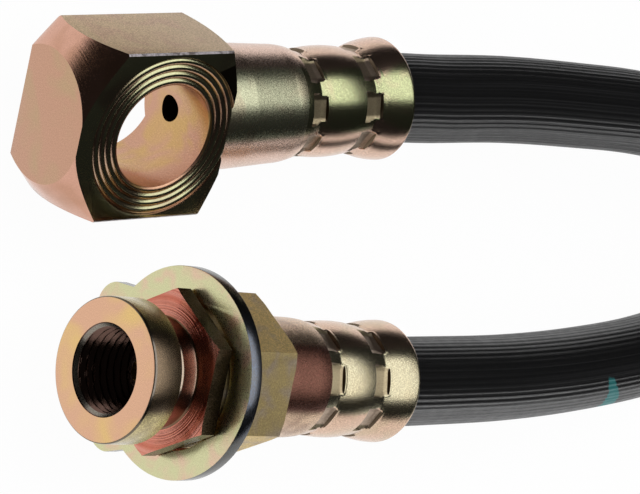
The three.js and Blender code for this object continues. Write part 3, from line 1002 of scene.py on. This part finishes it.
def threaded_port(radius, pitch):
    """Cutter for the port: chamfered mouth, helical thread and the cone seat at the bottom."""
    start, run_out, height, rows = 0.5, 0.2, 0.45, 130

    def threaded(along, here, angle):
        if here < radius - 0.01 or along < start or along > PORT_DEPTH - run_out:
            return here
        turn = (along / pitch - angle / (2 * math.pi)) % 1.0
        tooth = max(0.0, min(1.0, (abs(turn - 0.5) * 2 - 0.12) / 0.76))
        fade = min(1.0, (along - start) / 0.3, (PORT_DEPTH - run_out - along) / 0.5)
        return here - height * tooth * max(0.0, fade)

    mouth = [(-1, 0.07), (0.0, 0.07), (0.12, -0.02), (0.46, -0.36)]
    outline = [(-1, AXIS), *[(along, radius + wider) for along, wider in mouth]]
    outline += [(start + (PORT_DEPTH - start) * i / rows, radius) for i in range(rows + 1)]
    seat = [(0, 3.5), (4.2, 1.95), (4.25, 1.9), (4.25, AXIS)]
    outline += [(PORT_DEPTH - rise, here) for rise, here in seat]
    return turned("port_cutter", outline, around=120, radius_at=threaded)


def nose_outline(radius, length):
    """Round nose with its worn edge, the clip groove with fine rings, and the fillet at the hexagon."""
    groove = 5.9
    edge = [(0, 0.26), (0.03, 0.15), (0.09, 0.06), (0.18, 0.015), (0.3, 0)]
    back_edge = [(0.2, 0), (0.06, 0.06), (0, 0.2)]
    rings = [(0, 0.1), (0.1, 0), (0.7, 0), (0.82, 0.05), (1.0, 0.05), (1.1, 0.01), (1.25, 0.01)]
    rings += [(1.37, 0.06), (1.55, 0.06), (1.65, 0.02), (1.8, 0.02), (1.92, 0.07), (2.1, 0.07), (2.2, 0.03)]
    fillet = [(-0.45, 0.05), (-0.2, 0.14), (-0.06, 0.32), (0.01, 0.55), (1, 0.55)]
    return [
        (0, AXIS),
        *[(along, radius - drop) for along, drop in edge],
        *[(length - along, radius - drop) for along, drop in back_edge],
        *[(length + along, groove + rise) for along, rise in rings],
        *[(SMALL_HEX + along, groove + rise) for along, rise in fillet],
        (SMALL_HEX + 1, AXIS),
    ]


class BRAKEHOSE_OT_female(bpy.types.Operator):
    """Turn the threaded socket fitting with its hexagons and crimped socket"""

    bl_idname = "brakehose.female"
    bl_label = "Threaded socket fitting"

    def execute(self, context):
        s, crimp = context.scene.female_end, context.scene.crimp
        nose = s.nose_length / MM
        body_nose = turned("nose", nose_outline(s.nose_radius / MM, nose), around=160)
        apothem = s.hex_across / MM / 2
        corner = apothem / math.cos(math.pi / 6)
        hexagon = [(corner * math.cos(i * math.pi / 3), corner * math.sin(i * math.pi / 3)) for i in range(6)]
        hex_turn = math.radians(HEX_TURN)
        bar = slab("hexagon", hexagon, SMALL_HEX, BIG_HEX_END)
        moved(bar, Matrix.Rotation(math.pi / 2, 4, "Y"))
        moved(bar, Matrix.Rotation(hex_turn, 4, "X"))
        ends = [(SMALL_HEX, AXIS), (SMALL_HEX, corner - 0.5), (SMALL_HEX + 0.2, corner + 0.1)]
        ends += [(BIG_HEX_END - 0.35, corner + 0.1), (BIG_HEX_END, corner - 0.7), (BIG_HEX_END, AXIS)]
        hexes = softened(kept_inside(bar, turned("hexagon_ends", ends, around=240)), 0.17)
        low, high = WASHER_FRONT - 0.3, WASHER_FRONT + context.scene.washer.thickness / MM + 0.3
        groove_outline = [(low, apothem), (low, apothem + 4), (high, apothem + 4), (high, apothem)]
        hexes = cut(hexes, turned_ring("washer_groove", groove_outline))
        sizes = {
            "rim": s.length / MM,
            "waists": (5.15, 12.55),
            "rim_radius": s.rim_radius / MM,
            "neck": s.neck_radius / MM,
            "crest": 6.65,
            "waist": 6.33,
            "jaw": 6.0,
            "wall": 0.3,
            "set_back": 0.8,
            "swell": 0.0,
            "turn": 0.0,
        }
        barrel = crimped_socket("female_barrel", BIG_HEX_END - 1, sizes, crimp)
        oil_way = rod("oil_way", 2, sizes["rim"] - OIL_WAY_END, 1.3, around=48)
        port = threaded_port(s.thread_radius / MM, s.thread_pitch / MM)
        body = cut(joined(hexes, body_nose, barrel), port, oil_way)
        finishes = ["nose_face", "nose_side", "groove", "hex_face", "small_hex_painted_dark", "big_hex", "hex_back"]
        finishes += ["female_neck", "jaw_marks", "port", "hidden_bore", "nose_edge_painted_shade", "hex_edges_worn_and_painted_glint", "jaw_walls_painted_shade"]
        finishes += ["female_socket", "port_lip"]
        socket_start = s.length / MM - sizes["waists"][1] - 2.0
        flat_angles = [hex_turn + i * math.pi / 3 for i in range(3)]

        def finish_of(centre, normal):
            from_axis = math.hypot(centre.y, centre.z)
            x = centre.x
            if x > BIG_HEX_END + 0.01:
                plain = "female_neck" if x < socket_start else "female_socket"
                return socket_finish(sizes, crimp, centre, normal, plain)
            if abs(x - SMALL_HEX) < 0.02 and normal.x < -0.9:
                return "hex_face"
            # Inside the threaded hole the finish is dark: painted shade.
            if from_axis < 5.75 and x < 9.6 and (x > 0.02 or from_axis < 5.0):
                return "port_lip" if 0.1 < x < 0.46 and normal.x < -0.2 else "port"
            if x < 0.02 and normal.x < -0.9:
                return "nose_face"
            # The nose's rounded edge takes a dark grey finish: painted dark reflection.
            if x < 0.3:
                return "nose_edge_painted_shade"
            if x < nose - 0.02:
                return "nose_side"
            if x < SMALL_HEX - 0.1:
                return "groove"
            if normal.x < -0.9:
                return "hex_face"
            if normal.x > 0.5:
                return "hex_back"
            # Corners between the flats take a pale, part-metallic finish: partly worn plating, partly a
            # painted glint.
            flat = max(abs(normal.y * math.cos(a) + normal.z * math.sin(a)) for a in flat_angles)
            if flat < 0.995 and from_axis > apothem + 0.05:
                return "hex_edges_worn_and_painted_glint"
            # The small hexagon's flats take a near-black finish, a painted dark reflection; the big one's
            # keep their plating.
            return "small_hex_painted_dark" if x < 11 else "big_hex"

        piece = finished("female_body", body, FEMALE_PLACE, finishes, finish_of)
        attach(piece, "root")
        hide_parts("female_fitting_body")
        return {"FINISHED"}


class BRAKEHOSE_OT_washer(bpy.types.Operator):
    """Stamp the bracket washer with its flat foot"""

    bl_idname = "brakehose.washer"
    bl_label = "Bracket washer"

    def execute(self, context):
        s = context.scene.washer
        radius, drop = s.radius / MM, s.foot_drop / MM
        half, neck_half, corner, hole_radius = 9.4, 8.95, 3.0, 8.4
        join = math.asin(neck_half / radius)
        outline = arc((0, 0), radius, -math.pi / 2 + join, 2 * math.pi - 2 * join, 150)
        outline += arc((-half + corner, -drop + corner), corner, math.pi, math.pi / 2, 16)
        outline += arc((half - corner, -drop + corner), corner, 1.5 * math.pi, math.pi / 2, 16)
        blank = slab("blank", outline, 0, s.thickness / MM)
        moved(blank, Matrix.Rotation(math.pi / 2, 4, "Z"))
        moved(blank, Matrix.Rotation(math.pi / 2, 4, "Y"))
        moved(blank, Matrix.Translation((WASHER_FRONT, 0, 0)) @ Matrix.Rotation(math.radians(2), 4, "X"))
        hole = rod("hole", WASHER_FRONT - 1, WASHER_FRONT + 3, hole_radius, around=160)
        sheet = softened(cut(blank, hole), 0.22, angle=40, segments=3)

        def finish_of(centre, normal):
            return "washer_face" if abs(normal.x) > 0.6 else "washer_rim"

        piece = finished("foot_washer", sheet, FEMALE_PLACE, ["washer_face", "washer_rim"], finish_of)
        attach(piece, "root")
        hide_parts("bracket_washer")
        return {"FINISHED"}


# Finishes of the fittings. Each row has the colours facing up, facing sideways and of the stains, as they
# look on a screen, with None for a colour in the piece's own settings. The colour facing up is partly the
# plating's own hue and partly a painted tint of the softbox's highlight, and the colour facing sideways
# partly a painted reflection of the white floor. Then come the roughness, the amounts of flecks and of
# stains, the stains' size and the depth of the grain.
FINISHES = {
    "block_side": [(216, 188, 148), (216, 186, 146), (206, 162, 138), 0.38, 0.5, 0.5, 0.3, 0.08],
    "block_end": [(205, 160, 132), (206, 160, 134), (190, 172, 128), 0.3, 0.15, 0.45, 0.18, 0.03],
    # Cone: the darker colour facing up is painted shade.
    "block_cone": [(120, 92, 62), (216, 166, 144), (150, 104, 60), 0.15, 0.12, 0.3, 0.18, 0.03],
    # Seat faces: near-black colour, a painted dark reflection.
    "block_face_painted_dark": [(92, 84, 66), (90, 84, 66), (80, 66, 52), 0.1, 0.35, 0.4, 0.25, 0.02],
    "ridges": [(198, 198, 156), (205, 172, 145), (160, 124, 110), 0.18, 0.2, 0.6, 0.2, 0.03],
    "bolt_bore": [(214, 168, 138), (210, 162, 136), (212, 176, 104), 0.3, 0.12, 0.7, 0.2, 0.03],
    "neck": [(214, 216, 182), (238, 204, 186), (214, 186, 160), 0.25, 0.3, 0.4, 0.25, 0.06],
    "socket": [None, (234, 198, 176), (214, 186, 160), 0.18, 0.3, 0.4, 0.25, 0.05],
    "jaw_marks": [(184, 170, 138), (206, 184, 164), (150, 130, 106), 0.34, 0.3, 0.4, 0.25, 0.06],
    # End walls of the jaw marks: dark colour, painted shade.
    "jaw_walls_painted_shade": [(120, 106, 88), (120, 104, 86), (90, 78, 64), 0.35, 0.3, 0.4, 0.25, 0.03],
    # Chamfers by the seat faces: pale, part-metallic colour, partly worn plating and partly a painted glint.
    "worn_edges_and_painted_glint": [(218, 212, 218), (216, 208, 214), (64, 58, 60), 0.45, 0.6, 0.9, 1.1, 0.3],
    "hidden_bore": [(90, 76, 66), (90, 74, 64), (80, 70, 60), 0.5, 0.25, 0.4, 0.25, 0.03],
    "nose_face": [(226, 182, 148), (228, 180, 148), (236, 204, 124), 0.3, 0.08, 0.7, 0.14, 0.03],
    # Nose's rounded edge: dark grey colour, a painted dark reflection.
    "nose_edge_painted_shade": [(128, 122, 114), (120, 112, 96), (100, 92, 84), 0.16, 0.4, 0.4, 0.25, 0.03],
    # Nose side: the darker colour facing up is partly dull plating and partly a painted dimming of the
    # softbox's highlight.
    "nose_side": [(136, 118, 96), (222, 206, 150), (104, 92, 66), 0.2, 0.55, 0.4, 0.25, 0.08],
    "groove": [(176, 158, 140), (120, 92, 70), (190, 150, 140), 0.16, 0.2, 0.4, 0.25, 0.03],
    "hex_face": [(182, 98, 78), (200, 114, 94), (212, 150, 112), 0.2, 0.1, 0.35, 0.25, 0.03],
    # Small hexagon's flats: near-black colour, a painted dark reflection.
    "small_hex_painted_dark": [(66, 58, 40), (74, 64, 42), (52, 44, 36), 0.24, 0.6, 0.4, 0.25, 0.1],
    # Corners of the hexagons: pale, part-metallic colour, partly worn plating and partly a painted glint.
    "hex_edges_worn_and_painted_glint": [(214, 210, 204), (214, 208, 198), (50, 44, 36), 0.4, 0.8, 0.9, 1.2, 0.25],
    "big_hex": [(190, 170, 118), (244, 214, 140), (168, 158, 166), 0.44, 0.45, 0.45, 0.4, 0.35],
    "hex_back": [(200, 170, 120), (200, 160, 120), (150, 140, 90), 0.4, 0.3, 0.4, 0.25, 0.03],
    # Female neck: the darker colour facing up is partly dull plating and partly a painted dimming of the
    # softbox's highlight.
    "female_neck": [(140, 92, 80), (236, 202, 170), (112, 70, 62), 0.25, 0.45, 0.5, 0.25, 0.09],
    "female_socket": [None, (236, 200, 174), (214, 198, 160), 0.18, 0.35, 0.4, 0.25, 0.05],
    # Threaded hole: dark colour, painted shade inside the hole.
    "port": [(88, 68, 62), (104, 80, 72), (80, 62, 54), 0.2, 0.2, 0.4, 0.25, 0.03],
    "port_lip": [(150, 146, 138), (150, 144, 134), (120, 112, 104), 0.25, 0.3, 0.4, 0.25, 0.03],
    "washer_face": [None, None, (234, 192, 172), 0.26, 0.1, 0.75, 0.3, 0.03],
    "washer_rim": [(108, 118, 132), (96, 102, 104), (126, 132, 134), 0.18, 0.5, 0.4, 0.25, 0.03],
}
# Depth of the lathe's rings, the colour of the bands among them, and how metallic the worn edges still are,
# which lets their pale colour show as a painted glint as well as wear
RINGS = {"block_cone": 0.1, "nose_face": 0.1, "hex_face": 0.5}
RING_TINTS = {"hex_face": (230, 166, 150)}
METAL_LEFT = {"worn_edges_and_painted_glint": 0.35, "hex_edges_worn_and_painted_glint": 0.4}


class BRAKEHOSE_OT_finishes(bpy.types.Operator):
    """Mix the plating colours of both fittings and the bare steel of the insert tubes"""

    bl_idname = "brakehose.finishes"
    bl_label = "Finishes"

    def execute(self, context):
        plating_and_reflection_tint_group()
        turning_marks_group()
        scene = context.scene
        chosen = {
            "socket": scene.banjo_end.plating,
            "female_socket": scene.female_end.plating,
            "washer_face": scene.washer.face,
        }
        for name, row in FINISHES.items():
            colours = [screen_colour(*shade) if shade else (*chosen[name], 1.0) for shade in row[:3]]
            plated(name, *colours, *row[3:])
        drawn = insert_material()
        for node in ("banjo_insert_tube", "female_insert_tube"):
            tube = bpy.data.objects[node]
            if not tube.material_slots:
                tube.data.materials.append(drawn)
            for slot in tube.material_slots:
                slot.material = drawn
        return {"FINISHED"}


class BRAKEHOSE_OT_stage(bpy.types.Operator):
    """Lay the white sheet, hang a softbox over each fitting and set a strip light beside the hose"""

    bl_idname = "brakehose.stage"
    bl_label = "Stage"

    def execute(self, context):
        stage = context.scene.hose_stage
        near, far = stage.sheet_near, stage.sheet_far
        left, right, rise = stage.sheet_left, stage.sheet_right, stage.sheet_rise
        corners = [(-near, -right, 0), (far, -right, 0), (far, left, 0), (-near, left, 0)]
        corners += [(-near, -right, rise), (far, -right, rise)]
        mesh = mesh_from("table_top", corners, [(0, 1, 2, 3), (1, 0, 4, 5)])
        table = linked("table_top", mesh)
        mesh.materials.append(table_material(stage.floor))
        world = bpy.data.worlds.new("studio")
        context.scene.world = world
        world.use_nodes = True
        w = Wiring(world.node_tree)
        background = world.node_tree.nodes["Background"]
        rays = w.node("ShaderNodeLightPath").outputs
        level = w.plus(rays["Is Camera Ray"], w.times(rays["Is Diffuse Ray"], WORLD_FILL))
        w.feed(background, "Color", (1, 1, 1, 1))
        w.feed(background, "Strength", w.maths("ADD", level, WORLD_GLOW, clamp=True))
        threaded = [bpy.data.objects[name] for name in ("female_body", "foot_washer", "female_insert_tube")]
        hose = bpy.data.objects["rubber_hose"]
        meshes = [thing for thing in context.scene.objects if thing.type == "MESH"]
        others = [thing for thing in meshes if thing not in [hose, *threaded]]
        add_light("banjo_softbox", stage.banjo_softbox_at, stage.banjo_softbox_size, others)
        add_light("threaded_softbox", stage.threaded_softbox_at, stage.threaded_softbox_size, threaded)
        strip = add_light("hose_strip", stage.strip_at, stage.strip_size, [hose], level=STRIP_LEVEL)
        strip.rotation_euler = Euler((math.radians(90), 0, 0))
        context.scene.view_settings.view_transform = "Standard"
        return {"FINISHED"}


def add_light(name, at, sides, lit, level=SOFTBOX_LEVEL):
    """Flat light that faces down, as bright as level for its size, and reaches only the pieces in lit."""
    lamp = bpy.data.lights.new(name, "AREA")
    lamp.shape = "RECTANGLE"
    lamp.size, lamp.size_y = sides
    lamp.energy = level * math.pi * sides[0] * sides[1]
    thing = linked(name, lamp)
    thing.location = at
    reached = bpy.data.collections.new(name + "_reach")
    for piece in lit:
        reached.objects.link(piece)
    thing.light_linking.receiver_collection = reached
    return thing


class BRAKEHOSE_PT_panel(bpy.types.Panel):
    bl_label = "Brake Hose"
    bl_idname = "BRAKEHOSE_PT_panel"
    bl_space_type = "VIEW_3D"
    bl_region_type = "UI"
    bl_category = "Brake Hose"

    def draw(self, context):
        layout = self.layout
        for label in ("hose_stage", "hose", "crimp", "banjo_end", "female_end", "washer"):
            box = layout.box()
            settings = getattr(context.scene, label)
            box.label(text=label.replace("_", " ").capitalize())
            for key in settings.__annotations__:
                box.prop(settings, key)
        for operator in OPERATORS:
            layout.operator(operator.bl_idname)


OPERATORS = [
    BRAKEHOSE_OT_camera,
    BRAKEHOSE_OT_hose,
    BRAKEHOSE_OT_finishes,
    BRAKEHOSE_OT_banjo,
    BRAKEHOSE_OT_female,
    BRAKEHOSE_OT_washer,
    BRAKEHOSE_OT_stage,
]
SETTINGS = {
    "hose_stage": StageSettings,
    "hose": HoseSettings,
    "crimp": CrimpSettings,
    "banjo_end": BanjoSettings,
    "female_end": FemaleSettings,
    "washer": WasherSettings,
}


def register():
    for kind in [*SETTINGS.values(), *OPERATORS, BRAKEHOSE_PT_panel]:
        bpy.utils.register_class(kind)
    for label, kind in SETTINGS.items():
        setattr(bpy.types.Scene, label, bpy.props.PointerProperty(type=kind))


def unregister():
    for label in SETTINGS:
        delattr(bpy.types.Scene, label)
    for kind in reversed([*SETTINGS.values(), *OPERATORS, BRAKEHOSE_PT_panel]):
        bpy.utils.unregister_class(kind)


def main():
    register()
    bpy.ops.brakehose.camera()
    bpy.ops.brakehose.hose()
    bpy.ops.brakehose.finishes()
    bpy.ops.brakehose.banjo()
    bpy.ops.brakehose.female()
    bpy.ops.brakehose.washer()
    bpy.ops.brakehose.stage()


if __name__ == "__main__":
    main()
